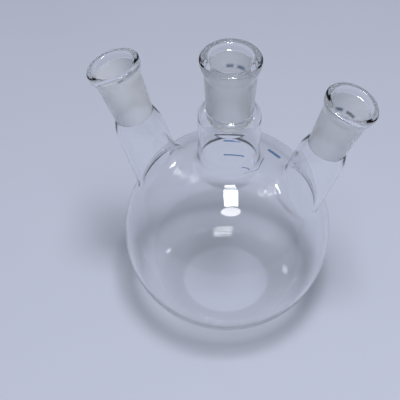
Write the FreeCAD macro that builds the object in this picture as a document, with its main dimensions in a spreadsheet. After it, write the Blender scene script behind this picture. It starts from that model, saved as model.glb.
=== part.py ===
"""Three-neck boiling flask with a flat base, in clear borosilicate glass.

Millimetres, +Z up. The origin is the centre of the flat base, and the three
necks stand in the XZ plane. Each neck has a frame of its own: its origin is the
centre of the rim and its +Z points out of the mouth, so depths are negative.
"""
import FreeCAD, Part
import Sketcher
import os

os.makedirs("parts", exist_ok=True)
doc = FreeCAD.newDocument("three_neck_flask")

# --- driving dimensions ------------------------------------------------------
DIMENSIONS = [
    ("bulb_radius", 65.5, "outer radius of the ball, a 1000 ml flask"),
    ("bulb_wall", 2.2, "wall of the ball"),
    ("bulb_centre_height", 53.5, "centre of the ball above the table"),
    ("base_wall", 2.8, "wall of the flat base"),
    ("base_round", 26.5, "outer rounding between ball and flat base"),
    ("base_inner_round", 24.0, "inner rounding between ball and flat base"),
    ("centre_rim_height", 194.9, "centre rim above the table"),
    ("side_rim_height", 176.2, "centres of the side rims above the table"),
    ("side_rim_reach", 69.3, "centres of the side rims out from the middle axis"),
    ("side_tilt", 17.8, "side necks out from vertical, degrees"),
    ("bore_radius", 12.0, "ground taper at its large end, 24 mm across"),
    ("bore_slope", 0.05, "radius that the ground taper loses per mm, 1 in 10 across"),
    ("centre_ground", 41.0, "length of the centre socket below its lip"),
    ("centre_lip", 2.0, "height of the centre mouth's rounded inner edge"),
    ("centre_bead", 17.8, "outer radius of the centre bead"),
    ("centre_bead_tube", 1.8, "rounding of the centre bead's outer top edge"),
    ("centre_bead_height", 12.5, "depth at which the centre bead has run out into the wall"),
    ("centre_socket_top", 15.2, "outer radius of the centre socket under its bead"),
    ("centre_socket_end", 13.6, "outer radius of the centre socket at its lower end"),
    ("centre_seal", 36.5, "top edge of the centre collar below the rim"),
    ("centre_shoulder", 7.5, "height of the centre collar's domed shoulder"),
    ("centre_inner_shoulder", 6.0, "height of that shoulder inside"),
    ("centre_tube", 18.5, "outer radius of the centre collar"),
    ("centre_tube_wall", 1.4, "wall of the centre collar"),
    ("side_ground", 36.5, "length of a side socket below its lip"),
    ("side_lip", 1.7, "height of a side mouth's rounded inner edge"),
    ("side_bead", 16.2, "outer radius of a side bead"),
    ("side_bead_tube", 1.6, "rounding of a side bead's outer top edge"),
    ("side_bead_height", 11.0, "depth at which a side bead has run out into the wall"),
    ("side_socket_top", 13.7, "outer radius of a side socket under its bead"),
    ("side_socket_end", 11.6, "outer radius of a side socket at its lower end"),
    ("side_seal", 37.0, "top edge of a side neck below the rim"),
    ("side_shoulder", 15.0, "height of a side neck's soft shoulder"),
    ("side_inner_shoulder", 15.0, "height of that shoulder inside"),
    ("side_tube", 15.0, "outer radius of a side neck"),
    ("side_tube_wall", 2.2, "wall of a side neck"),
    ("seal_ledge", 0.4, "how far a neck tube's top edge stands out from its socket"),
    ("seal_band", 1.5, "height of the ring that seals the centre collar to its socket"),
    ("foot_depth", 100.0, "how far a neck tube is drawn below its rim, into the ball"),
    ("foot_round", 6.0, "outer rounding where a neck meets the ball"),
    ("foot_inner_round", 8.2, "inner rounding where a neck meets the ball"),
    ("zone_margin", 6.8, "how far a neck piece reaches out past its tube"),
    ("enamel", 0.15, "thickness of the fired-on enamel"),
    ("centre_size_mark", 16.2, "top of the centre size mark below the rim"),
    ("side_size_mark", 17.6, "top of a side size mark below the rim"),
    ("size_mark_height", 2.2, "height of a size mark"),
    ("size_mark_short", 4.2, "length of a size mark's short bar"),
    ("size_mark_long", 5.6, "length of a size mark's long bar"),
    ("size_mark_gap", 2.6, "gap between the two bars of a size mark"),
    ("bar_height", 1.1, "height of a plain enamel bar"),
    ("line_height", 0.6, "height of a thin enamel line"),
    ("panel_left", -17.0, "left edge of the marks on the ball"),
    ("upper_length", 13.0, "length of the two upper lines"),
    ("upper_line_rise", 22.3, "uppermost line above the ball's centre"),
    ("upper_bar_rise", 18.7, "bar under it above the ball's centre"),
    ("middle_length", 16.0, "length of the middle bar"),
    ("middle_bar_rise", 2.5, "middle bar above the ball's centre"),
    ("panel_foot", -2.5, "left end of the corner line"),
    ("panel_right", 12.0, "right edge of the writing panel's corner line"),
    ("panel_low", -8.0, "lower edge of the writing panel, from the ball's centre"),
    ("panel_corner", 7.0, "rounding of the panel's corner line"),
    ("panel_rise", 9.0, "how far the corner line runs up the side"),
    ("patch_length", 10.0, "writing patch, long way"),
    ("patch_height", 3.6, "writing patch, short way"),
    ("patch_left", 14.3, "upper left corner of the writing patch from the middle"),
    ("patch_rise", 17.5, "upper left corner of the patch above the ball's centre"),
    ("patch_slope", 29.0, "slope of the writing patch, degrees"),
    ("ball_turn", -70.0, "turns the ball's own seam away from the necks, degrees"),
    ("zone_rise", 1.0, "how far a neck's zone rises above its tube"),
    ("cut_start", 20.0, "where the blocks that cut out the marks start, behind the axis"),
    ("cut_reach", 60.0, "how far those blocks reach, past the outer face"),
]
sheet = doc.addObject("Spreadsheet::Sheet", "dims")
for row, (alias, value, meaning) in enumerate(DIMENSIONS, start=1):
    sheet.set("A%d" % row, meaning)
    sheet.set("B%d" % row, str(value))
    sheet.setAlias("B%d" % row, alias)
doc.recompute()

SIDE_SIGN = {"left": -1, "right": 1}
NECKS = ["centre", "left", "right"]
KIND = {"centre": "centre", "left": "side", "right": "side"}
BALL_CENTRE = "vector(0; 0; dims.bulb_centre_height)"
BALL_PLACE = "placement(%s; rotation(vector(0; 0; 1); dims.ball_turn))" % BALL_CENTRE
# A length below which two heights or points count as the same.
NEARLY_ZERO = 0.001


# --- helpers -----------------------------------------------------------------
def neck_place(neck):
    """The neck's frame as an expression: the rim's centre, +Z out of the mouth."""
    if neck == "centre":
        return "placement(vector(0; 0; dims.centre_rim_height); rotation(vector(0; 1; 0); 0))"
    sign = SIDE_SIGN[neck]
    rim = "vector(%d * dims.side_rim_reach; 0; dims.side_rim_height)" % sign
    return "placement(%s; rotation(vector(0; 1; 0); %d * dims.side_tilt))" % (rim, sign)


def arc_centre(start, end, centre_radius):
    """Centre of the arc from start to end whose centre has the given radius."""
    before = (start.x - centre_radius) ** 2 + start.y ** 2
    after = (end.x - centre_radius) ** 2 + end.y ** 2
    return FreeCAD.Vector(centre_radius, (after - before) / (2 * (end.y - start.y)), 0)


def arc_between(start, end, centre):
    """The short arc from start to end about centre."""
    outward = (start + end) * 0.5 - centre
    outward.normalize()
    return Part.Arc(start, centre + outward * start.distanceToPoint(centre), end)


def turned(name, place, corners, arcs):
    """A body turned about its own Z axis from a closed profile.

    corners are (radius, height) expressions in order round the profile. arcs
    maps the number of a corner to the radius of an arc's centre, for the edges
    that leave their corner as arcs.
    """
    body = doc.addObject("PartDesign::Body", name)
    sketch = body.newObject("Sketcher::SketchObject", name + "_profile")
    plane = [item for item in body.Origin.OriginFeatures if item.Role == "XZ_Plane"][0]
    sketch.AttachmentSupport = [(plane, "")]
    sketch.MapMode = "FlatFace"
    spots = []
    for radius, height in corners:
        spots.append(FreeCAD.Vector(sketch.evalExpression(radius), sketch.evalExpression(height), 0))
    starts = []
    for index, spot in enumerate(spots):
        after = spots[(index + 1) % len(spots)]
        if index in arcs:
            centre = arc_centre(spot, after, sketch.evalExpression(arcs[index]))
            sketch.addGeometry(arc_between(spot, after, centre))
        else:
            sketch.addGeometry(Part.LineSegment(spot, after))
        near = sketch.getPoint(index, 1).distanceToPoint(spot) < NEARLY_ZERO
        starts.append(1 if near else 2)
    for index, (radius, height) in enumerate(corners):
        before = (index - 1) % len(corners)
        sketch.addConstraint(
            Sketcher.Constraint("Coincident", before, 3 - starts[before], index, starts[index])
        )
        hold(sketch, "DistanceX", index, starts[index], radius)
        hold(sketch, "DistanceY", index, starts[index], height)
    for index, centre_radius in arcs.items():
        hold(sketch, "DistanceX", index, 3, centre_radius)
    turn = body.newObject("PartDesign::Revolution", name + "_turn")
    turn.Profile = sketch
    turn.ReferenceAxis = (sketch, ["V_Axis"])
    turn.Angle = 360
    body.setExpression("Placement", place)
    return body


def hold(sketch, kind, index, point, expression):
    """Bind one coordinate of a sketch point, from the origin, to the sheet."""
    value = sketch.evalExpression(expression)
    number = sketch.addConstraint(Sketcher.Constraint(kind, -1, 1, index, point, value))
    sketch.setExpression("Constraints[%d]" % number, expression)


def joined(kind, name, tools):
    """A boolean of several document objects."""
    result = doc.addObject(kind, name)
    if kind in ("Part::MultiFuse", "Part::MultiCommon"):
        result.Shapes = tools
    else:
        result.Base = tools[0]
        result.Tool = tools[1]
    return result


def rounded(name, base, radius, wanted):
    """Round every edge of base that the test picks."""
    doc.recompute()
    picked = []
    for number, edge in enumerate(base.Shape.Edges, start=1):
        if not edge.Degenerated and wanted(base.Shape, edge):
            picked.append((number, radius, radius))
    result = doc.addObject("Part::Fillet", name)
    result.Base = base
    result.Edges = picked
    return result


def ball(name, radius, flat_depth, corner_radius):
    """A ball cut flat at the bottom, with a rounded corner round the flat."""
    sphere = doc.addObject("Part::Sphere", name + "_sphere")
    sphere.setExpression("Radius", radius)
    sphere.setExpression("Angle1", "-asin((%s) / (%s))" % (flat_depth, radius))
    sphere.setExpression("Placement", BALL_PLACE)
    return rounded(name, sphere, corner_radius, is_flat_rim)


def is_flat_rim(shape, edge):
    """The circle round the flat at the bottom of a ball."""
    level = sheet.bulb_centre_height - sheet.bulb_radius / 2
    level_ring = edge.BoundBox.ZLength < NEARLY_ZERO and edge.BoundBox.ZMax < level
    return level_ring and len(shape.ancestorsOfType(edge, Part.Face)) == 2


def is_foot(shape, edge):
    """The edge where a neck meets the ball."""
    faces = shape.ancestorsOfType(edge, Part.Face)
    round_faces = [face for face in faces if isinstance(face.Surface, Part.Sphere)]
    above = edge.BoundBox.ZMin > sheet.bulb_centre_height
    return above and len(faces) == 2 and len(round_faces) == 1


# --- profiles of a neck, all in the neck's own frame --------------------------
def dim(neck, name):
    """The cell of that name for the neck's kind."""
    return "dims.%s_%s" % (KIND[neck], name)


def tangent_radius(across, along):
    """Radius of an arc that spans across and along and ends parallel to the axis."""
    return "(((%s)^2 + (%s)^2) / (2 * (%s)))" % (across, along, across)


def socket_length(neck):
    return "(%s + %s)" % (dim(neck, "lip"), dim(neck, "ground"))


def bore_end_radius(neck):
    return "(dims.bore_radius - dims.bore_slope * %s)" % dim(neck, "ground")


def wall_radius(neck, depth):
    """Outer radius of the socket's tapered wall at a depth below the rim."""
    top = dim(neck, "socket_top")
    end = dim(neck, "socket_end")
    start = dim(neck, "bead_height")
    share = "((%s) - %s) / (%s - %s)" % (depth, start, socket_length(neck), start)
    return "(%s + (%s - %s) * %s)" % (top, end, top, share)


def socket(neck):
    """Ground taper socket whose mouth is thickened into a bead with a flat crown."""
    bead = dim(neck, "bead")
    tube = dim(neck, "bead_tube")
    top = dim(neck, "socket_top")
    run_out = dim(neck, "bead_height")
    lip_top = "(dims.bore_radius + %s)" % dim(neck, "lip")
    crown = "(%s - %s)" % (bead, tube)
    swell = tangent_radius("(%s - %s) / 2" % (bead, top), "(%s - %s) / 2" % (run_out, tube))
    corners = [
        (bore_end_radius(neck), "-" + socket_length(neck)),
        ("dims.bore_radius", "-" + dim(neck, "lip")),
        (lip_top, "0"),
        (crown, "0"),
        (bead, "-" + tube),
        ("(%s + %s) / 2" % (bead, top), "-(%s + %s) / 2" % (run_out, tube)),
        (top, "-" + run_out),
        (dim(neck, "socket_end"), "-" + socket_length(neck)),
    ]
    arcs = {1: lip_top, 3: crown, 4: bead + " - " + swell, 5: top + " + " + swell}
    return turned(neck + "_socket", neck_place(neck), corners, arcs)


def socket_core(neck):
    """The socket's outer wall as a filled cone, to cut its seat in the neck tube."""
    corners = [
        ("0", "-" + dim(neck, "bead_height")),
        (dim(neck, "socket_top"), "-" + dim(neck, "bead_height")),
        (dim(neck, "socket_end"), "-" + socket_length(neck)),
        ("0", "-" + socket_length(neck)),
    ]
    return turned(neck + "_core", neck_place(neck), corners, {})


def tube_form(neck, name, top_depth, top_radius, tube_radius, shoulder):
    """Filled form of a neck tube: a domed shoulder, then a straight tube."""
    across = "%s - %s" % (tube_radius, top_radius)
    corners = [
        ("0", "-(%s)" % top_depth),
        (top_radius, "-(%s)" % top_depth),
        (tube_radius, "-(%s + %s)" % (top_depth, shoulder)),
        (tube_radius, "-dims.foot_depth"),
        ("0", "-dims.foot_depth"),
    ]
    arcs = {1: "%s - %s" % (tube_radius, tangent_radius(across, shoulder))}
    return turned(name, neck_place(neck), corners, arcs)


def tube_outside(neck):
    seal = dim(neck, "seal")
    top_radius = "(%s + dims.seal_ledge)" % wall_radius(neck, seal)
    shoulder = dim(neck, "shoulder")
    return tube_form(neck, neck + "_outside", seal, top_radius, dim(neck, "tube"), shoulder)


def tube_inside(neck):
    """The centre socket's end hangs free in its collar; a side neck runs on from the socket's bore."""
    if neck == "centre":
        top_depth = "(%s + dims.seal_band)" % dim(neck, "seal")
        top_radius = wall_radius(neck, top_depth)
    else:
        top_depth = socket_length(neck)
        top_radius = bore_end_radius(neck)
    tube_radius = "(%s - %s)" % (dim(neck, "tube"), dim(neck, "tube_wall"))
    shoulder = dim(neck, "inner_shoulder")
    return tube_form(neck, neck + "_inside", top_depth, top_radius, tube_radius, shoulder)


def zone(neck):
    """The cylinder of space that a neck's own glass takes up."""
    top = "dims.zone_rise - %s" % dim(neck, "seal")
    radius = "(%s + dims.zone_margin)" % dim(neck, "tube")
    corners = [
        ("0", "-dims.foot_depth"),
        (radius, "-dims.foot_depth"),
        (radius, top),
        ("0", top),
    ]
    return turned(neck + "_zone", neck_place(neck), corners, {})


# --- fired-on enamel: thin films on the outer faces ----------------------------
# Where each size mark sits round its socket, degrees from the neck's +X.
SIZE_MARK_TURN = {"centre": 88, "left": 100, "right": 83}
# Plain lines on the back of the ball: node, length, height above the ball's
# centre, and thickness.
BALL_LINES = [
    ("upper_line", "dims.upper_length", "dims.upper_line_rise", "dims.line_height"),
    ("upper_bar", "dims.upper_length", "dims.upper_bar_rise", "dims.bar_height"),
    ("middle_bar", "dims.middle_length", "dims.middle_bar_rise", "dims.bar_height"),
]


def box(name, place, length, width, height):
    block = doc.addObject("Part::Box", name)
    block.setExpression("Length", length)
    block.setExpression("Width", width)
    block.setExpression("Height", height)
    block.setExpression("Placement", place)
    return block


def size_mark(neck):
    """A short and a long bar of enamel, side by side on the socket's outer wall."""
    upper = dim(neck, "size_mark")
    lower = "(%s + dims.size_mark_height)" % upper
    corners = [
        (wall_radius(neck, lower), "-" + lower),
        (wall_radius(neck, lower) + " + dims.enamel", "-" + lower),
        (wall_radius(neck, upper) + " + dims.enamel", "-" + upper),
        (wall_radius(neck, upper), "-" + upper),
    ]
    film = turned(neck + "_film", neck_place(neck), corners, {})
    end = "(dims.size_mark_short + dims.size_mark_gap + dims.size_mark_long) / 2"
    turn = "placement(vector(0; 0; 0); rotation(vector(0; 0; 1); %d))" % SIZE_MARK_TURN[neck]
    bars = []
    for name, length, start in (
        ("short", "dims.size_mark_short", end + " - dims.size_mark_short"),
        ("long", "dims.size_mark_long", "-" + end),
    ):
        shift = "placement(vector(0; %s; -%s); rotation(vector(0; 0; 1); 0))" % (start, lower)
        place = "%s * %s * %s" % (neck_place(neck), turn, shift)
        bar = box(neck + "_bar_" + name, place, "dims.cut_reach", length, "dims.size_mark_height")
        bars.append(bar)
    both = joined("Part::MultiFuse", neck + "_bars", bars)
    return joined("Part::MultiCommon", neck + "_mark", [film, both])


def ball_film():
    """The film of enamel all over the ball, from which the marks are cut."""
    covered = doc.addObject("Part::Sphere", "enamelled_ball")
    covered.setExpression("Radius", "dims.bulb_radius + dims.enamel")
    covered.setExpression("Placement", BALL_PLACE)
    bare = doc.addObject("Part::Sphere", "bare_ball")
    bare.setExpression("Radius", "dims.bulb_radius")
    bare.setExpression("Placement", BALL_PLACE)
    return joined("Part::Cut", "ball_film", [covered, bare])


def on_ball(name, film, tool):
    """The part of the ball's film that a tool covers."""
    return joined("Part::MultiCommon", name + "_enamel", [film, tool])


def back_place(across, up, turn):
    """A place behind the ball's centre, turned in the plane of the necks."""
    spot = "vector(%s; dims.cut_start; dims.bulb_centre_height + %s)" % (across, up)
    return "placement(%s; rotation(vector(0; 1; 0); %s))" % (spot, turn)


def ball_line(name, length, up, thickness):
    """A block that cuts a level line out of the film, from the marks' left edge."""
    return box(name + "_tool", back_place("dims.panel_left", up, "0"), length, "dims.cut_reach", thickness)


def corner_line():
    """A thin line along the panel's foot, round its corner and up its side."""
    middle_x = "(dims.panel_right - dims.panel_corner)"
    middle_z = "(dims.panel_low + dims.panel_corner)"
    side_x = "dims.panel_right - dims.line_height"
    thin = "dims.line_height"
    reach = "dims.cut_reach"
    foot_length = middle_x + " - dims.panel_foot"
    foot = box("corner_foot", back_place("dims.panel_foot", "dims.panel_low", "0"), foot_length, reach, thin)
    side = box("corner_side", back_place(side_x, middle_z, "0"), thin, reach, "dims.panel_rise")
    rings = []
    for name, radius in (("wide", "dims.panel_corner"), ("tight", "dims.panel_corner - " + thin)):
        quarter = doc.addObject("Part::Cylinder", "corner_" + name)
        quarter.setExpression("Radius", radius)
        quarter.setExpression("Height", reach)
        quarter.Angle = 90
        spot = "vector(%s; dims.cut_start; dims.bulb_centre_height + %s)" % (middle_x, middle_z)
        quarter.setExpression("Placement", "placement(%s; rotation(vector(1; 0; 0); -90))" % spot)
        rings.append(quarter)
    bend = joined("Part::Cut", "corner_bend", rings)
    return joined("Part::MultiFuse", "corner_tool", [foot, bend, side])


# --- the blown glass: one form, then shared out between ball and necks --------
outer_ball = ball("outer_ball", "dims.bulb_radius", "dims.bulb_centre_height", sheet.base_round)
inner_ball = ball(
    "inner_ball",
    "dims.bulb_radius - dims.bulb_wall",
    "dims.bulb_centre_height - dims.base_wall",
    sheet.base_inner_round,
)
outside = joined("Part::MultiFuse", "outside", [outer_ball] + [tube_outside(neck) for neck in NECKS])
inside = joined("Part::MultiFuse", "inside", [inner_ball] + [tube_inside(neck) for neck in NECKS])
outside_form = rounded("outside_form", outside, sheet.foot_round, is_foot)
inside_form = rounded("inside_form", inside, sheet.foot_inner_round, is_foot)
blown_glass = joined("Part::Cut", "blown_glass", [outside_form, inside_form])

pieces = {}
bulb_glass = blown_glass
for neck in NECKS:
    neck_zone = zone(neck)
    bulb_glass = joined("Part::Cut", "bulb_without_" + neck, [bulb_glass, neck_zone])
    neck_glass = joined("Part::MultiCommon", neck + "_glass", [blown_glass, neck_zone])
    pieces[neck + "_neck_tube"] = joined("Part::Cut", neck + "_tube_seated", [neck_glass, socket_core(neck)])
    pieces[neck + "_socket"] = socket(neck)
    pieces[neck + "_size_mark"] = size_mark(neck)
pieces["bulb"] = bulb_glass

film = ball_film()
for name, length, up, thickness in BALL_LINES:
    pieces[name] = on_ball(name, film, ball_line(name, length, up, thickness))
pieces["corner_line"] = on_ball("corner_line", film, corner_line())
patch_place = back_place("dims.patch_left", "dims.patch_rise", "dims.patch_slope")
patch = box("patch_tool", patch_place, "dims.patch_length", "dims.cut_reach", "dims.patch_height")
pieces["writing_patch"] = on_ball("writing_patch", film, patch)

# --- check everything, then write one file per piece --------------------------
doc.recompute()
for item in doc.Objects:
    if "Invalid" in item.State or "Error" in item.State:
        raise RuntimeError("%s failed: %s" % (item.Name, item.State))
for node, piece in sorted(pieces.items()):
    piece.Label = node
    shape = piece.Shape
    if shape.isNull() or not shape.isValid() or not shape.Solids:
        raise RuntimeError("%s has no sound solid" % node)
    print("%-20s %2d solid(s) %9.1f mm3" % (node, len(shape.Solids), shape.Volume))
    shape.exportStep("parts/%s.step" % node)
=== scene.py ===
"""Three-neck boiling flask with a flat base: its looks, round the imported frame.

Metres, in the frame of the CAD model: +Z up, origin at the centre of the flat
base, necks in the XZ plane. Each neck also has a frame of its own, with its
origin at the centre of the rim and +Z out of the mouth. Depths are measured
down from the rim.
"""
import math

import bmesh
import bpy
import numpy as np
from mathutils import Matrix, Quaternion, Vector

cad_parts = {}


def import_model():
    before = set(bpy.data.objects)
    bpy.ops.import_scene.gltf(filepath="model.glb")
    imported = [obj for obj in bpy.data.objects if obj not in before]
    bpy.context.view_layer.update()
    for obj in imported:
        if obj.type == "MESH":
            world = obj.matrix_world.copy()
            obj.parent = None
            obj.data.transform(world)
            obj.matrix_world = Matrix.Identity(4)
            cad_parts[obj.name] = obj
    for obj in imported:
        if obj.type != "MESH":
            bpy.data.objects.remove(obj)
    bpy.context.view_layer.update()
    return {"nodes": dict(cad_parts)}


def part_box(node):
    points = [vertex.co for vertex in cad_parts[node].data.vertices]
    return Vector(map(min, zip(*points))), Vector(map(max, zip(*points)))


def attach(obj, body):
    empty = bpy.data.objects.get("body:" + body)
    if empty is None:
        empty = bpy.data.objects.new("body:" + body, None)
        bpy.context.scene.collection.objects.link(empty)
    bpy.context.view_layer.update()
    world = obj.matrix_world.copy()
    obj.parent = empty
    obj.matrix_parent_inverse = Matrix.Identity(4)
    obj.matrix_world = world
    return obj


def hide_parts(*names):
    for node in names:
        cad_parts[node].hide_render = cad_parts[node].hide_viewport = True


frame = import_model()

# --- sizes, from the frame where it gives them ---------------------------------
MM = 0.001
bulb_low, bulb_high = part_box("bulb")
BALL_RADIUS = (bulb_high.y - bulb_low.y) / 2
BALL_WALL = 2.2 * MM
INNER_BALL_RADIUS = BALL_RADIUS - BALL_WALL
BALL_CENTRE = Vector((0, 0, 53.5 * MM))
BASE_WALL = 2.8 * MM
BASE_ROUND = 26.5 * MM
BASE_INNER_ROUND = 24.0 * MM
BEND_START = 28.0 * MM
BEND_TOP = 8.1 * MM
SEAL_LEDGE = 0.15 * MM
SEAL_BAND = 1.5 * MM
FOOT_ROUND = 6.0 * MM
FOOT_INNER_ROUND = 8.2 * MM
ZONE_MARGIN = 6.8 * MM
BORE_RADIUS = 12.0 * MM
BORE_SLOPE = 0.05
GROUND_START = 4.6 * MM
LEAD_IN = 0.3 * MM

CENTRE_SIZES = {
    "ground": 41.0 * MM,
    "lip": 2.0 * MM,
    "bead": 17.8 * MM,
    "bead_tube": 1.8 * MM,
    "bead_height": 12.5 * MM,
    "socket_top": 15.2 * MM,
    "socket_end": 13.6 * MM,
    "seal": 36.5 * MM,
    "shoulder": 7.5 * MM,
    "inner_shoulder": 6.0 * MM,
    "tube": 18.5 * MM,
    "tube_wall": 1.4 * MM,
}
SIDE_SIZES = {
    "ground": 36.5 * MM,
    "lip": 1.7 * MM,
    "bead": 16.2 * MM,
    "bead_tube": 1.6 * MM,
    "bead_height": 11.0 * MM,
    "socket_top": 13.7 * MM,
    "socket_end": 11.6 * MM,
    "seal": 37.0 * MM,
    "shoulder": 15.0 * MM,
    "inner_shoulder": 15.0 * MM,
    "tube": 15.0 * MM,
    "tube_wall": 2.2 * MM,
}
CENTRE_RIM_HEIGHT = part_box("centre_socket")[1].z
SIDE_RIM_REACH = 69.3 * MM
SIDE_RIM_HEIGHT = 176.2 * MM
SIDE_TILT = math.radians(17.8)


def side_place(side):
    """Frame of the left (-1) or right (1) neck."""
    rim = Matrix.Translation((side * SIDE_RIM_REACH, 0, SIDE_RIM_HEIGHT))
    return rim @ Matrix.Rotation(side * SIDE_TILT, 4, "Y")


NECKS = {
    "centre": (CENTRE_SIZES, Matrix.Translation((0, 0, CENTRE_RIM_HEIGHT))),
    "left": (SIDE_SIZES, side_place(-1)),
    "right": (SIDE_SIZES, side_place(1)),
}

# How finely the shapes are drawn.
SEGMENTS = 192
DOME_STEPS = 18
TUBE_STEPS = 16
FOOT_STEPS = 16
SKIRT_RINGS = 5
BASE_STEPS = 16
BEND_STEPS = 40
BALL_RINGS = 120
SHARP_ANGLE = math.radians(28)


# --- material helpers ------------------------------------------------------------
def new_material(name):
    """The empty node tree, the output node and the material of that name."""
    material = bpy.data.materials.new(name)
    material.use_nodes = True
    tree = material.node_tree
    tree.nodes.clear()
    return tree, tree.nodes.new("ShaderNodeOutputMaterial"), material


def noise(tree, scale, detail=2.0):
    """Noise in the row frame; scale is features per metre."""
    coords = tree.nodes.new("ShaderNodeTexCoord")
    texture = tree.nodes.new("ShaderNodeTexNoise")
    texture.inputs["Scale"].default_value = scale
    texture.inputs["Detail"].default_value = detail
    tree.links.new(coords.outputs["Object"], texture.inputs["Vector"])
    return texture.outputs["Fac"]


NOISE_LOW = 0.3
NOISE_HIGH = 0.7


def spread(tree, value, low, high):
    """A noise value, mapped so that most of its range covers low to high."""
    node = tree.nodes.new("ShaderNodeMapRange")
    node.inputs["From Min"].default_value = NOISE_LOW
    node.inputs["From Max"].default_value = NOISE_HIGH
    node.inputs["To Min"].default_value = low
    node.inputs["To Max"].default_value = high
    tree.links.new(value, node.inputs["Value"])
    return node.outputs["Result"]


def blend(tree, value, low, high):
    """A colour between low and high, by a noise value."""
    node = tree.nodes.new("ShaderNodeMix")
    node.data_type = "RGBA"
    node.inputs["A"].default_value = low
    node.inputs["B"].default_value = high
    tree.links.new(spread(tree, value, 0.0, 1.0), node.inputs["Factor"])
    return node.outputs["Result"]


def bump(tree, height, depth):
    """A normal that follows height, as relief of that depth."""
    node = tree.nodes.new("ShaderNodeBump")
    node.inputs["Distance"].default_value = depth
    tree.links.new(height, node.inputs["Height"])
    return node.outputs["Normal"]


def ramp(tree, value, stops):
    """A grey ramp through (position, level) stops."""
    node = tree.nodes.new("ShaderNodeValToRGB")
    elements = node.color_ramp.elements
    while len(elements) < len(stops):
        elements.new(0.5)
    for element, (position, level) in zip(elements, stops):
        element.position = position
        element.color = (level, level, level, 1)
    tree.links.new(value, node.inputs["Fac"])
    return node.outputs["Color"]


def lets_light_through(tree, shader, stops):
    """The shader, with shadow and diffuse rays let through by the stops."""
    path = tree.nodes.new("ShaderNodeLightPath")
    either = tree.nodes.new("ShaderNodeMath")
    either.operation = "MAXIMUM"
    tree.links.new(path.outputs["Is Shadow Ray"], either.inputs[0])
    tree.links.new(path.outputs["Is Diffuse Ray"], either.inputs[1])
    weight = tree.nodes.new("ShaderNodeLayerWeight")
    weight.inputs["Blend"].default_value = 0.5
    clear = tree.nodes.new("ShaderNodeBsdfTransparent")
    tree.links.new(ramp(tree, weight.outputs["Facing"], stops), clear.inputs["Color"])
    mix = tree.nodes.new("ShaderNodeMixShader")
    tree.links.new(either.outputs[0], mix.inputs["Fac"])
    tree.links.new(shader, mix.inputs[1])
    tree.links.new(clear.outputs[0], mix.inputs[2])
    return mix.outputs[0]


# --- materials -------------------------------------------------------------------
GLASS_IOR = 1.47
GLASS_TINT = (0.985, 0.99, 0.995, 1)
RIPPLE_DEPTH = 0.06 * MM
GROUND_TRANSMISSION = 0.66
GROUND_TONES = (0.945, 0.967, 1.0, 1), (0.972, 0.982, 1.0, 1)
GRIT_DEPTH = 0.02 * MM
ENAMEL_TONES = (0.02, 0.30, 0.76, 1), (0.07, 0.44, 0.88, 1)
ENAMEL_DEPTH = 0.02 * MM
FLOOR_TONES = (0.494, 0.522, 0.640, 1), (0.504, 0.532, 0.650, 1)

# How much lamplight passes one surface, from face on (0) to edge on (1). The bend
# round the flat base turns light aside, and ground glass scatters most of it.
WALL_STOPS = [(0.0, 0.995), (0.3, 0.988), (0.55, 0.94), (0.8, 0.54), (0.92, 0.1), (1.0, 0.0)]
BEND_STOPS = [(0.0, 0.91), (0.15, 0.93), (0.35, 0.965), (1.0, 0.0)]
GROUND_STOPS = [(0.0, 0.12), (0.6, 0.10), (1.0, 0.05)]


def clear_glass(name, stops):
    """Blown borosilicate: smooth, with the faint long ripple that blowing leaves."""
    tree, output, material = new_material(name)
    glass = tree.nodes.new("ShaderNodeBsdfPrincipled")
    glass.inputs["Base Color"].default_value = GLASS_TINT
    glass.inputs["IOR"].default_value = GLASS_IOR
    glass.inputs["Transmission Weight"].default_value = 1.0
    haze = spread(tree, noise(tree, scale=60.0), 0.0, 0.02)
    tree.links.new(haze, glass.inputs["Roughness"])
    ripple = bump(tree, noise(tree, scale=28.0, detail=1.0), RIPPLE_DEPTH)
    tree.links.new(ripple, glass.inputs["Normal"])
    tree.links.new(lets_light_through(tree, glass.outputs[0], stops), output.inputs["Surface"])
    return material


def fused_contact():
    """Where two pieces are fused there is no surface to see."""
    tree, output, material = new_material("fused_contact")
    clear = tree.nodes.new("ShaderNodeBsdfTransparent")
    tree.links.new(clear.outputs[0], output.inputs["Surface"])
    return material


def ground_glass():
    """The ground taper: a fine even grit that scatters what is behind it."""
    tree, output, material = new_material("ground_glass")
    glass = tree.nodes.new("ShaderNodeBsdfPrincipled")
    glass.inputs["IOR"].default_value = GLASS_IOR
    glass.inputs["Transmission Weight"].default_value = GROUND_TRANSMISSION
    tone = blend(tree, noise(tree, scale=900.0, detail=3.0), *GROUND_TONES)
    tree.links.new(tone, glass.inputs["Base Color"])
    matt = spread(tree, noise(tree, scale=300.0, detail=3.0), 0.42, 0.52)
    tree.links.new(matt, glass.inputs["Roughness"])
    grit = bump(tree, noise(tree, scale=4000.0), GRIT_DEPTH)
    tree.links.new(grit, glass.inputs["Normal"])
    shaded = lets_light_through(tree, glass.outputs[0], GROUND_STOPS)
    tree.links.new(shaded, output.inputs["Surface"])
    return material


def enamel():
    """Fired-on blue enamel: glossy, a little uneven in colour and surface."""
    tree, output, material = new_material("blue_enamel")
    paint = tree.nodes.new("ShaderNodeBsdfPrincipled")
    tone = blend(tree, noise(tree, scale=700.0, detail=3.0), *ENAMEL_TONES)
    tree.links.new(tone, paint.inputs["Base Color"])
    gloss = spread(tree, noise(tree, scale=1500.0), 0.18, 0.34)
    tree.links.new(gloss, paint.inputs["Roughness"])
    relief = bump(tree, noise(tree, scale=2500.0), ENAMEL_DEPTH)
    tree.links.new(relief, paint.inputs["Normal"])
    tree.links.new(paint.outputs[0], output.inputs["Surface"])
    return material


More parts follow.
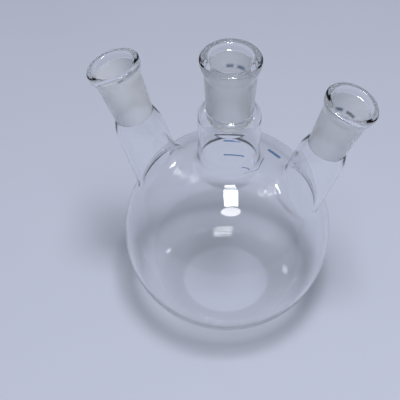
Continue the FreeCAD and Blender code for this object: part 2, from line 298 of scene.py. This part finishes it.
def floor_sheet():
    """The plain pale sheet that the flask stands on."""
    tree, output, material = new_material("pale_floor")
    sheet = tree.nodes.new("ShaderNodeBsdfPrincipled")
    tone = blend(tree, noise(tree, scale=9.0), *FLOOR_TONES)
    tree.links.new(tone, sheet.inputs["Base Color"])
    sheet.inputs["Roughness"].default_value = 0.9
    sheet.inputs["Specular IOR Level"].default_value = 0.1
    tree.links.new(sheet.outputs[0], output.inputs["Surface"])
    return material


# The material slots of every glass piece, in the order of GLASS_MATERIALS.
CLEAR, CONTACT, GROUND, BEND = 0, 1, 2, 3
GLASS_MATERIALS = [
    clear_glass("clear_glass", WALL_STOPS),
    fused_contact(),
    ground_glass(),
    clear_glass("clear_glass_bend", BEND_STOPS),
]
ENAMEL_MATERIAL = enamel()


# --- profiles, as (radius, height) -------------------------------------------------
def line(start, end, steps):
    """Points from start towards end, without the end."""
    share = np.linspace(0, 1, steps, endpoint=False)[:, None]
    return np.array(start) + share * (np.array(end) - np.array(start))


def arc(start, end, centre_radius, steps):
    """Points from start towards end round a centre at that radius, without the end."""
    before = (start[0] - centre_radius) ** 2 + start[1] ** 2
    after = (end[0] - centre_radius) ** 2 + end[1] ** 2
    height = (after - before) / (2 * (end[1] - start[1]))
    first = math.atan2(start[1] - height, start[0] - centre_radius)
    sweep = math.atan2(end[1] - height, end[0] - centre_radius) - first
    sweep = (sweep + math.pi) % (2 * math.pi) - math.pi
    angles = first + sweep * np.linspace(0, 1, steps, endpoint=False)
    radius = math.hypot(start[0] - centre_radius, start[1] - height)
    across = centre_radius + radius * np.cos(angles)
    return np.stack([across, height + radius * np.sin(angles)], 1)


def tangent_radius(across, along):
    """Radius of an arc that spans across and along and ends parallel to the axis."""
    return (across ** 2 + along ** 2) / (2 * across)


def socket_length(sizes):
    return sizes["lip"] + sizes["ground"]


def bore_end_radius(sizes):
    return BORE_RADIUS - BORE_SLOPE * sizes["ground"]


def wall_radius(sizes, depth):
    """Outer radius of the socket's tapered wall at a depth below the rim."""
    share = (depth - sizes["bead_height"]) / (socket_length(sizes) - sizes["bead_height"])
    return sizes["socket_top"] + (sizes["socket_end"] - sizes["socket_top"]) * share


def hangs_free(sizes):
    """The centre socket hangs in its collar; a side socket is sealed to its neck end on."""
    return sizes is CENTRE_SIZES


def seal_end(sizes):
    """Depth at which the glass of socket and tube parts: under the seal, or at the end."""
    if hangs_free(sizes):
        return sizes["seal"] + SEAL_BAND
    return socket_length(sizes)


# --- meshes ----------------------------------------------------------------------
ANGLES = np.linspace(0, 2 * math.pi, SEGMENTS, endpoint=False)
AROUND = np.stack([np.cos(ANGLES), np.sin(ANGLES), np.zeros(SEGMENTS)], 1)
UP = np.array([0.0, 0.0, 1.0])


def add_object(name, data):
    """A new object in the scene."""
    thing = bpy.data.objects.new(name, data)
    bpy.context.scene.collection.objects.link(thing)
    return thing


def make_piece(name, points, faces, slots):
    """A mesh object in the row frame with smooth faces and true corners."""
    mesh = bpy.data.meshes.new(name)
    mesh.from_pydata([tuple(point) for point in points], [], faces)
    for material in GLASS_MATERIALS:
        mesh.materials.append(material)
    mesh.polygons.foreach_set("material_index", slots)
    mesh.update()
    mesh.shade_smooth()
    mesh.set_sharp_from_angle(angle=SHARP_ANGLE)
    return add_object(name, mesh)


def placed(points, place):
    """Points of a neck's own frame, in the row frame."""
    matrix = np.array(place)
    return points @ matrix[:3, :3].T + matrix[:3, 3]


def ring(radius, height):
    """A level ring of points round the axis."""
    return AROUND * radius + UP * height


def closed_piece(name, rings, ring_slots, place):
    """A piece through rings of points, the last joined to the first; a slot for each ring."""
    count = len(rings)
    faces = []
    slots = []
    for row in range(count):
        below = row * SEGMENTS
        above = ((row + 1) % count) * SEGMENTS
        for column in range(SEGMENTS):
            right = (column + 1) % SEGMENTS
            faces.append((above + column, above + right, below + right, below + column))
            slots.append(ring_slots[row])
    return make_piece(name, placed(np.concatenate(rings), place), faces, slots)


def socket(name, sizes, place):
    """Ground taper socket with a thickened bead at its mouth."""
    length = socket_length(sizes)
    tube = sizes["bead_tube"]
    bead = sizes["bead"]
    crown = bead - tube
    across = (bead - sizes["socket_top"]) / 2
    swell = tangent_radius(across, (sizes["bead_height"] - tube) / 2)
    bore_end = (bore_end_radius(sizes), -length)
    bore_start = (BORE_RADIUS - BORE_SLOPE * (GROUND_START - sizes["lip"]), -GROUND_START)
    lead_in = (BORE_RADIUS + LEAD_IN, LEAD_IN - GROUND_START)
    mouth = (BORE_RADIUS + LEAD_IN, -sizes["lip"])
    lip_top = (BORE_RADIUS + sizes["lip"], 0)
    bead_side = (bead, -tube)
    middle = (bead - across, -(sizes["bead_height"] + tube) / 2)
    wall_start = (sizes["socket_top"], -sizes["bead_height"])
    band_top = (wall_radius(sizes, sizes["seal"]), -sizes["seal"])
    band_end = (wall_radius(sizes, seal_end(sizes)), -seal_end(sizes))
    wall_end = (sizes["socket_end"], -length)
    runs = [
        (line(bore_end, bore_start, steps=24), GROUND),
        (line(bore_start, lead_in, steps=2), CLEAR),
        (line(lead_in, mouth, steps=4), CLEAR),
        (arc(mouth, lip_top, lip_top[0], steps=16), CLEAR),
        (line(lip_top, (crown, 0), steps=3), CLEAR),
        (arc((crown, 0), bead_side, crown, steps=16), CLEAR),
        (arc(bead_side, middle, bead - swell, steps=12), CLEAR),
        (arc(middle, wall_start, sizes["socket_top"] + swell, steps=12), CLEAR),
        (line(wall_start, band_top, steps=16), CLEAR),
        (line(band_top, band_end, steps=3), CONTACT),
    ]
    if hangs_free(sizes):
        runs.append((line(band_end, wall_end, steps=4), CLEAR))
        runs.append((line(wall_end, bore_end, steps=2), CLEAR))
    else:
        runs.append((line(wall_end, bore_end, steps=2), CONTACT))
    rings = []
    slots = []
    for points, slot in runs:
        for radius, height in points:
            rings.append(ring(radius, height))
            slots.append(slot)
    return closed_piece(name, rings, slots, place)


def ball_point(flat, ball, radius):
    """The upper point of a ball of that radius over each point of a plane across the neck."""
    square = np.sum((flat - ball * [1, 1, 0]) ** 2, axis=1)
    height = ball[2] + np.sqrt(radius ** 2 - square)
    return flat + UP * height[:, None]


def unit(vectors):
    return vectors / np.linalg.norm(vectors, axis=1)[:, None]


def tube_surface(ball, top, tube_radius, shoulder, foot, ball_radius, zone_radius):
    """Rings from a neck's top edge down its tube, round its foot and out on the ball.

    ball is the ball's centre in the neck's frame, and top is the edge's radius and depth.
    """
    top_radius, top_depth = top
    centre_radius = tube_radius - tangent_radius(tube_radius - top_radius, shoulder)
    dome_end = (tube_radius, -top_depth - shoulder)
    dome = arc((top_radius, -top_depth), dome_end, centre_radius, DOME_STEPS)
    rings = [ring(radius, height) for radius, height in dome]
    centre = ball_point(AROUND * (tube_radius + foot), ball, ball_radius + foot)
    tube_start = AROUND * tube_radius - UP * (top_depth + shoulder)
    tube_end = centre - AROUND * foot
    for share in np.linspace(0, 1, TUBE_STEPS, endpoint=False):
        rings.append(tube_start + share * (tube_end - tube_start))
    inward = unit(ball - centre)
    turn = np.arccos(np.clip(np.sum(-AROUND * inward, axis=1), -1, 1))[:, None]
    for share in np.linspace(0, 1, FOOT_STEPS, endpoint=False):
        direction = np.sin((1 - share) * turn) * -AROUND + np.sin(share * turn) * inward
        rings.append(centre + foot * (direction / np.sin(turn)))
    landing = centre + foot * inward
    edge = ball_point(AROUND * zone_radius, ball, ball_radius)
    for share in np.linspace(0, 1, SKIRT_RINGS):
        rings.append(ball + ball_radius * unit(landing + share * (edge - landing) - ball))
    return rings


def neck_tube(name, sizes, place):
    """Blown neck: a shoulder under the socket, a tube, and a foot that flows into the ball."""
    ball = np.array(place.inverted() @ BALL_CENTRE)
    zone_radius = sizes["tube"] + ZONE_MARGIN
    seat = wall_radius(sizes, sizes["seal"])
    inner_depth = seal_end(sizes)
    if hangs_free(sizes):
        inner_top = wall_radius(sizes, inner_depth)
    else:
        inner_top = bore_end_radius(sizes)
    outer = tube_surface(
        ball, (seat + SEAL_LEDGE, sizes["seal"]), sizes["tube"],
        sizes["shoulder"], FOOT_ROUND, BALL_RADIUS, zone_radius,
    )
    inner = tube_surface(
        ball, (inner_top, inner_depth), sizes["tube"] - sizes["tube_wall"],
        sizes["inner_shoulder"], FOOT_INNER_ROUND, INNER_BALL_RADIUS, zone_radius,
    )
    rings = outer + inner[::-1]
    slots = [CLEAR] * len(rings)
    slots[len(outer) - 1] = CONTACT
    slots[-1] = CONTACT
    if not hangs_free(sizes):
        rings.append(ring(sizes["socket_end"], -inner_depth))
        slots.append(CONTACT)
    rings.append(ring(seat, -sizes["seal"]))
    slots.append(CLEAR)
    return closed_piece(name, rings, slots, place)


def zone_cutter(name, sizes, place):
    """The cylinder of space that a neck's own glass takes up."""
    zone_radius = sizes["tube"] + ZONE_MARGIN
    low = place.inverted() @ BALL_CENTRE
    points = placed(np.concatenate([ring(zone_radius, low.z), ring(zone_radius, 0)]), place)
    faces = []
    for column in range(SEGMENTS):
        right = (column + 1) % SEGMENTS
        faces.append((column, right, SEGMENTS + right, SEGMENTS + column))
    faces.append(tuple(range(SEGMENTS))[::-1])
    faces.append(tuple(range(SEGMENTS, 2 * SEGMENTS)))
    return make_piece(name, points, faces, [CLEAR] * len(faces))


# --- the bulb ----------------------------------------------------------------------
# Each of its two surfaces is a ball cut flat and rounded into the flat. It is given
# by the ball's radius, the depth of the flat below the centre and the rounding.
OUTER_SURFACE = (BALL_RADIUS, BALL_CENTRE.z, BASE_ROUND)
INNER_SURFACE = (INNER_BALL_RADIUS, BALL_CENTRE.z - BASE_WALL, BASE_INNER_ROUND)
AXIS_TOLERANCE = 1e-9
WALL_TOLERANCE = 0.03 * MM
WALL_SLOPE = 0.05


def base_bend(radius, flat, rounding):
    """Radius of the flat, and the radius and height at which its rounding meets the ball."""
    reach = math.sqrt((radius - rounding) ** 2 - (flat - rounding) ** 2)
    end_radius = reach * radius / (radius - rounding)
    return reach, (end_radius, -(flat - rounding) * radius / (radius - rounding))


def bulb_profile(radius, flat, rounding):
    """Half profile from the flat's middle to the top."""
    reach, bend_end = base_bend(radius, flat, rounding)
    start_angle = math.atan2(bend_end[1], bend_end[0])
    angles = np.linspace(start_angle, math.pi / 2, BALL_RINGS)
    profile = np.concatenate([
        line((0, -flat), (reach, -flat), BASE_STEPS),
        arc((reach, -flat), bend_end, reach, BEND_STEPS),
        np.stack([radius * np.cos(angles), radius * np.sin(angles)], 1),
    ])
    profile[0, 0] = 0
    profile[-1, 0] = 0
    return profile


def add_surface(mesh, profile, outward):
    """Adds one closed turned surface to a bmesh."""
    rings = []
    for radius, height in profile:
        level = BALL_CENTRE.z + height
        if radius < AXIS_TOLERANCE:
            rings.append([mesh.verts.new((0, 0, level))])
        else:
            spots = [(x * radius, y * radius, level) for x, y, _ in AROUND]
            rings.append([mesh.verts.new(spot) for spot in spots])
    for lower, upper in zip(rings, rings[1:]):
        for column in range(SEGMENTS):
            right = (column + 1) % SEGMENTS
            corners = [lower[column % len(lower)], lower[right % len(lower)]]
            corners += [upper[right % len(upper)], upper[column % len(upper)]]
            corners = list(dict.fromkeys(corners))
            mesh.faces.new(corners if outward else corners[::-1])


def bulb_normal(point, radius, flat, rounding):
    """Outward normal of a flat-based ball at a point on it."""
    offset = point - BALL_CENTRE
    across = math.hypot(offset.x, offset.y)
    reach, bend_end = base_bend(radius, flat, rounding)
    if offset.z > bend_end[1]:
        return offset.normalized()
    if across <= reach:
        return Vector((0, 0, -1))
    middle = Vector((offset.x, offset.y, 0)) * (reach / across)
    return (offset - middle + Vector((0, 0, flat - rounding))).normalized()


def on_cut_wall(face, zones):
    """Whether a face is on the wall of a hole that a neck's zone cuts."""
    if face.center.z <= BALL_CENTRE.z:
        return False
    for inverse, zone_radius in zones:
        local = inverse @ face.center
        slope = (inverse.to_3x3() @ face.normal).z
        near = abs(math.hypot(local.x, local.y) - zone_radius) < WALL_TOLERANCE
        if near and abs(slope) < WALL_SLOPE:
            return True
    return False


def dress_bulb(mesh):
    """Gives the bulb's faces their materials, and its glass the exact normals."""
    normals = [Vector((0, 0, 1))] * len(mesh.loops)
    zones = [
        (place.inverted(), sizes["tube"] + ZONE_MARGIN) for sizes, place in NECKS.values()
    ]
    for face in mesh.polygons:
        face.use_smooth = True
        on_wall = on_cut_wall(face, zones)
        on_bend = math.hypot(face.center.x, face.center.y) > BEND_START
        if on_wall:
            face.material_index = CONTACT
        elif on_bend and face.center.z < BEND_TOP:
            face.material_index = BEND
        else:
            face.material_index = CLEAR
        outward = face.normal.dot(face.center - BALL_CENTRE) > 0
        for loop in face.loop_indices:
            point = mesh.vertices[mesh.loops[loop].vertex_index].co
            if on_wall:
                normals[loop] = face.normal.copy()
            elif outward:
                normals[loop] = bulb_normal(point, *OUTER_SURFACE)
            else:
                normals[loop] = -bulb_normal(point, *INNER_SURFACE)
    mesh.normals_split_custom_set(normals)


def bulb():
    """The blown ball with its flat base, open where the three necks join it."""
    solid = bmesh.new()
    add_surface(solid, bulb_profile(*OUTER_SURFACE), outward=True)
    add_surface(solid, bulb_profile(*INNER_SURFACE), outward=False)
    mesh = bpy.data.meshes.new("bulb_glass")
    solid.to_mesh(mesh)
    solid.free()
    for material in GLASS_MATERIALS:
        mesh.materials.append(material)
    piece = add_object("bulb_glass", mesh)
    cutters = []
    for neck, (sizes, place) in NECKS.items():
        cutters.append(zone_cutter(neck + "_cutter", sizes, place))
        cut = piece.modifiers.new(neck, "BOOLEAN")
        cut.operation = "DIFFERENCE"
        cut.solver = "EXACT"
        cut.object = cutters[-1]
    bpy.context.view_layer.update()
    evaluated = piece.evaluated_get(bpy.context.evaluated_depsgraph_get())
    piece.data = bpy.data.meshes.new_from_object(evaluated)
    piece.modifiers.clear()
    for cutter in cutters:
        bpy.data.objects.remove(cutter)
    dress_bulb(piece.data)
    return piece


# --- the flask -------------------------------------------------------------------
def stand_for(piece, node):
    """Puts a piece in the place of a CAD node."""
    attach(piece, "root")
    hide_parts(node)


stand_for(bulb(), "bulb")
for neck, (sizes, place) in NECKS.items():
    tube = neck_tube(neck + "_neck_glass", sizes, place)
    stand_for(tube, neck + "_neck_tube")
    taper = socket(neck + "_socket_glass", sizes, place)
    stand_for(taper, neck + "_socket")

# What is still shown of the CAD is the enamel marks.
for piece in frame["nodes"].values():
    if not piece.hide_render:
        piece.data.materials.clear()
        piece.data.materials.append(ENAMEL_MATERIAL)


# --- floor, light and camera -------------------------------------------------------
FLOOR_REACH = 3.0
FLOOR_DROP = 0.2 * MM


def floor():
    mesh = bpy.data.meshes.new("floor")
    sides = [(-1, -1), (1, -1), (1, 1), (-1, 1)]
    corners = [(x * FLOOR_REACH, y * FLOOR_REACH, -FLOOR_DROP) for x, y in sides]
    mesh.from_pydata(corners, [], [(0, 1, 2, 3)])
    mesh.materials.append(floor_sheet())
    sheet = add_object("floor", mesh)


WORLD_COLOUR = (0.86, 0.92, 1.0, 1)
WORLD_STRENGTH = 0.18


def world():
    surroundings = bpy.data.worlds.new("studio")
    bpy.context.scene.world = surroundings
    surroundings.use_nodes = True
    background = surroundings.node_tree.nodes["Background"]
    background.inputs["Color"].default_value = WORLD_COLOUR
    background.inputs["Strength"].default_value = WORLD_STRENGTH


def toward(azimuth, elevation, distance):
    """A place at that distance from the ball's centre; azimuth 0 is in front, 90 right."""
    turn = math.radians(azimuth)
    rise = math.radians(elevation)
    flat = math.cos(rise)
    way = Vector((math.sin(turn) * flat, -math.cos(turn) * flat, math.sin(rise)))
    return BALL_CENTRE + distance * way


def look(holder, location, target, turn):
    """Puts a lamp or camera at location, facing target and turned about its own axis."""
    holder.location = location
    aim = (target - location).to_track_quat("-Z", "Y")
    holder.rotation_mode = "QUATERNION"
    holder.rotation_quaternion = aim @ Quaternion((0, 0, 1), turn)


LAMP_TURN = math.radians(15.5)
KEY_PLACE = Vector((0.127, -0.205, 1.41))
FOOT_PLACE = Vector((0.22, -0.575, 1.41))
LEFT_PLACE = toward(-117, 28, 1.2)
RIGHT_PLACE = toward(118, 26, 1.2)
DOWN = Vector((0, 0, -1))

# Name, place, target, width and length in metres, watts, shape and turn.
LAMPS = [
    ("key_softbox", KEY_PLACE, KEY_PLACE + DOWN, (0.34, 0.42), 15.2, "RECTANGLE", LAMP_TURN),
    ("key_foot", FOOT_PLACE, FOOT_PLACE + DOWN, (0.55, 0.28), 3.0, "ELLIPSE", LAMP_TURN),
    ("left_window", LEFT_PLACE, BALL_CENTRE, (0.16, 0.30), 0.5, "RECTANGLE", 0.0),
    ("right_window", RIGHT_PLACE, BALL_CENTRE, (0.12, 0.22), 0.35, "RECTANGLE", 0.0),
]


def lights():
    for name, location, target, size, power, shape, turn in LAMPS:
        lamp = bpy.data.lights.new(name, "AREA")
        lamp.shape = shape
        lamp.size, lamp.size_y = size
        lamp.energy = power
        look(add_object(name, lamp), location, target, turn)


CAMERA_PLACE = toward(11.74, 48.6, 0.706)
CAMERA_AIM = Vector((-0.0178, 0, 0.0755))
CAMERA_ROLL = math.radians(-0.19)
FOCAL_LENGTH_MM = 98.7
SENSOR_WIDTH_MM = 36.0


def camera():
    lens = bpy.data.cameras.new("camera")
    lens.lens = FOCAL_LENGTH_MM
    lens.sensor_width = SENSOR_WIDTH_MM
    holder = add_object("camera", lens)
    look(holder, CAMERA_PLACE, CAMERA_AIM, CAMERA_ROLL)
    bpy.context.scene.camera = holder


floor()
world()
lights()
camera()
bpy.context.scene.view_settings.view_transform = "Standard"
